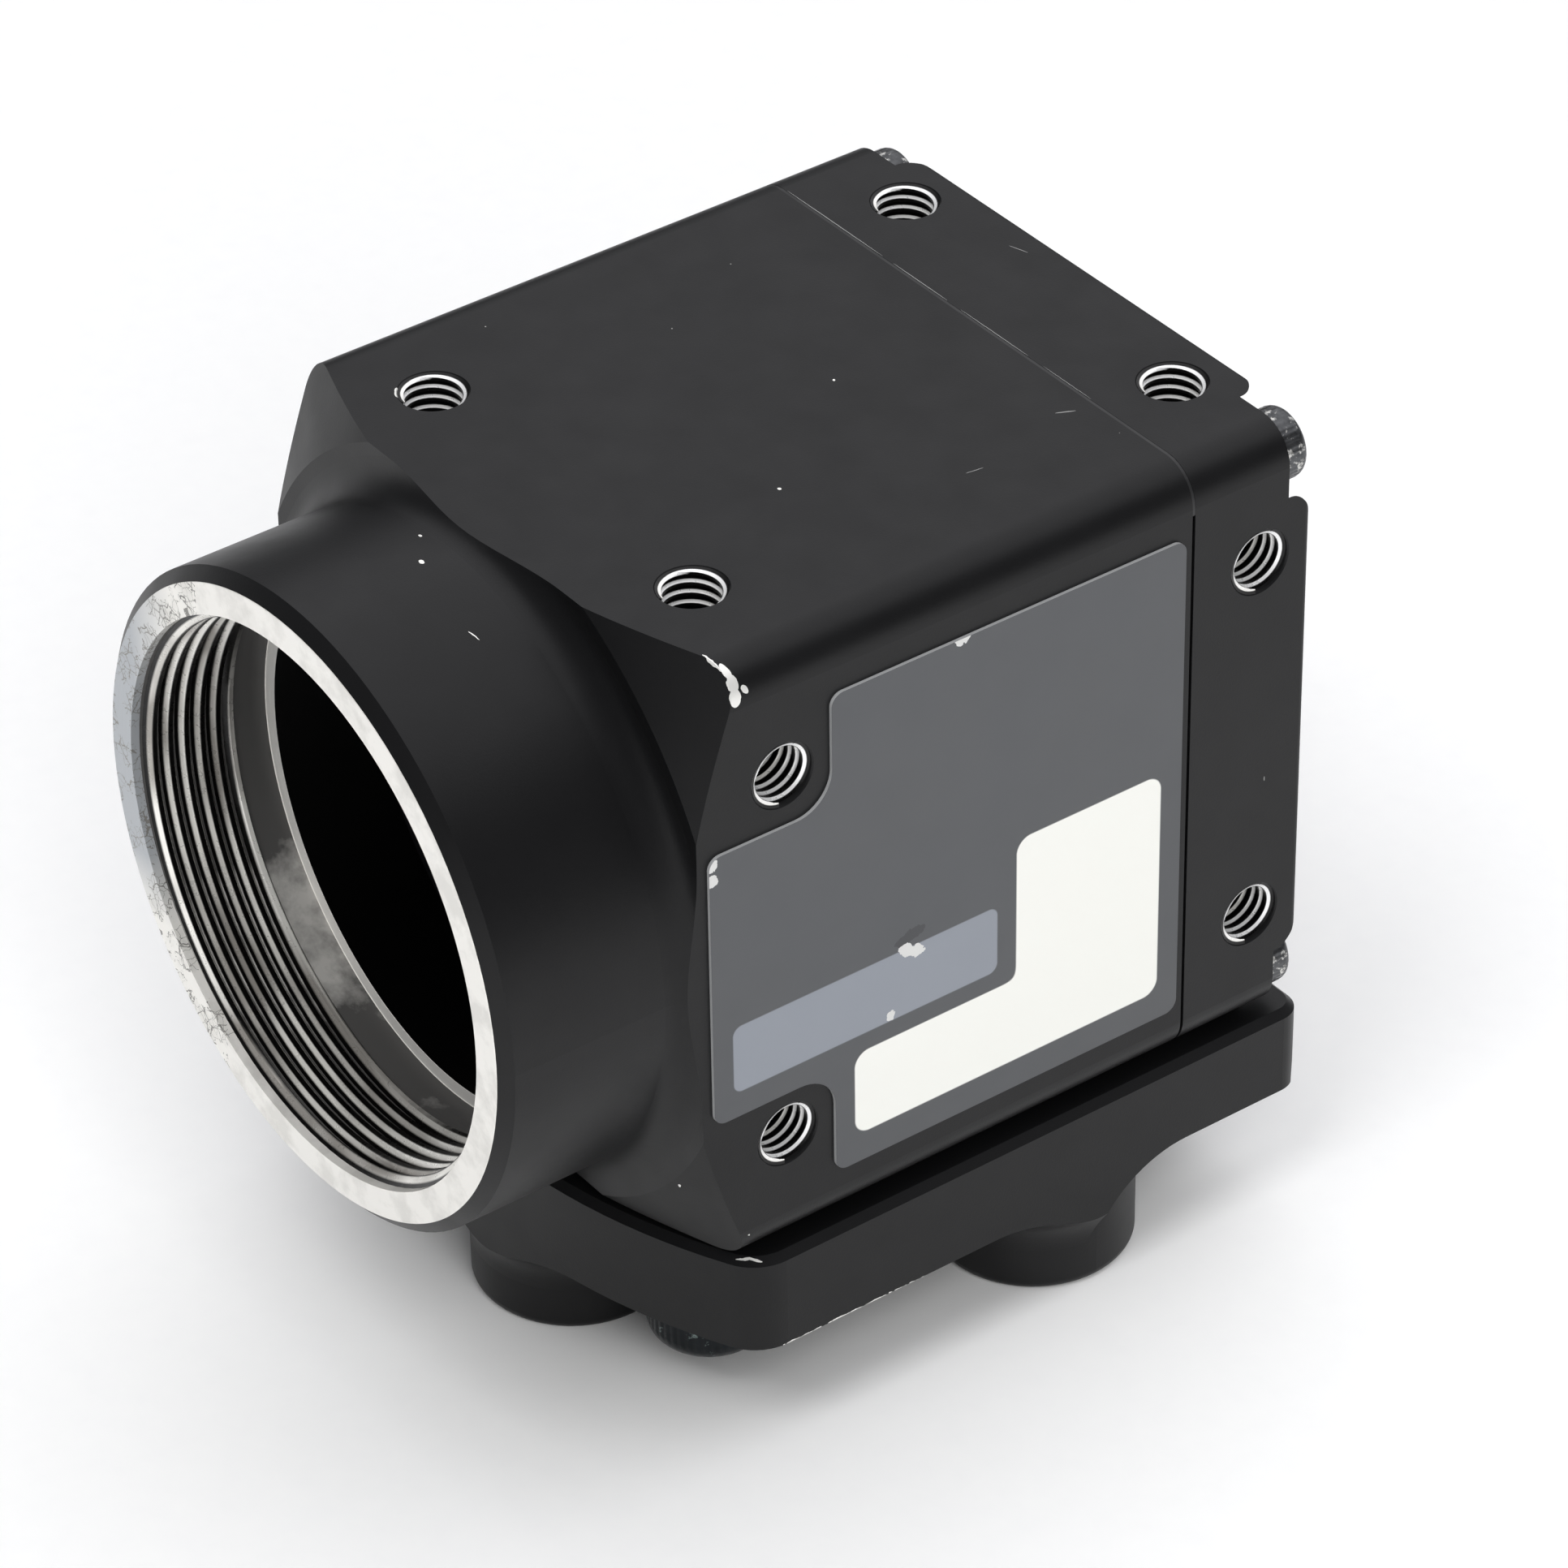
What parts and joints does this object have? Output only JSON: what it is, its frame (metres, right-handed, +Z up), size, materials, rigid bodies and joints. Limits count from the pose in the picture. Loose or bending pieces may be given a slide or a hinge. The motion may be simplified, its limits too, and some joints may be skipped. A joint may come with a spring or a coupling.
{
  "type": "machine vision camera",
  "caption": "Compact square industrial camera with a screw lens mount, threaded holes on every long face, a side label and a black base on three feet.",
  "frame": {"origin": "centre of the lens mount's front face, on the optical axis", "axes": "-Y is the way the camera looks, +X the label side, +Z up"},
  "size_m": [0.0302, 0.0429, 0.0406],
  "materials": {
    "painted_aluminium": "black satin paint",
    "base_black": "black satin paint",
    "black_rubber": "matt",
    "screw_steel": "dark nickel",
    "black_screw_steel": "black oxide",
    "label_film": "printed polyester film",
    "filter_glass": "coated",
    "cover_glass": "clear",
    "black_anodised": "black anodised",
    "ceramic": "fired alumina",
    "silicon": "polished",
    "circuit_board": "solder mask",
    "brass": "plated",
    "connector_plastic": "moulded",
    "chip_plastic": "moulded",
    "bright_steel": "tinned",
    "nickel": "nickel plate",
    "lamp_plastic": "clear moulding"
  },
  "bodies": {
    "root": {"front_housing": "painted_aluminium", "rear_cover": "painted_aluminium", "cover_gasket": "black_rubber", "rear_screw_1": "screw_steel", "rear_screw_2": "screw_steel", "rear_screw_3": "screw_steel", "rear_screw_4": "screw_steel", "base_plate": "base_black", "base_screw_1": "black_screw_steel", "base_screw_2": "black_screw_steel", "base_screw_3": "black_screw_steel", "base_screw_4": "black_screw_steel", "label_plate": "label_film", "filter_seal": "black_rubber", "filter_glass": "filter_glass", "filter_ring": "black_anodised", "sensor_seal": "black_rubber", "sensor_package": "ceramic", "sensor_die": "silicon", "sensor_glass": "cover_glass", "sensor_board": "circuit_board", "main_board": "circuit_board", "connector_board": "circuit_board", "front_spacer_1": "brass", "front_spacer_2": "brass", "front_spacer_3": "brass", "front_spacer_4": "brass", "rear_spacer_1": "brass", "rear_spacer_2": "brass", "rear_spacer_3": "brass", "rear_spacer_4": "brass", "board_screw_1": "screw_steel", "board_screw_2": "screw_steel", "board_screw_3": "screw_steel", "board_screw_4": "screw_steel", "front_link": "connector_plastic", "rear_link": "connector_plastic", "processor_chip": "chip_plastic", "memory_chip": "chip_plastic", "power_inductor": "chip_plastic", "jack_shield": "bright_steel", "jack_body": "connector_plastic", "jack_contacts": "brass", "socket_shell": "nickel", "socket_insert": "connector_plastic", "socket_nut": "nickel", "status_led": "lamp_plastic", "light_pipe": "lamp_plastic"}
  },
  "joints": []
}
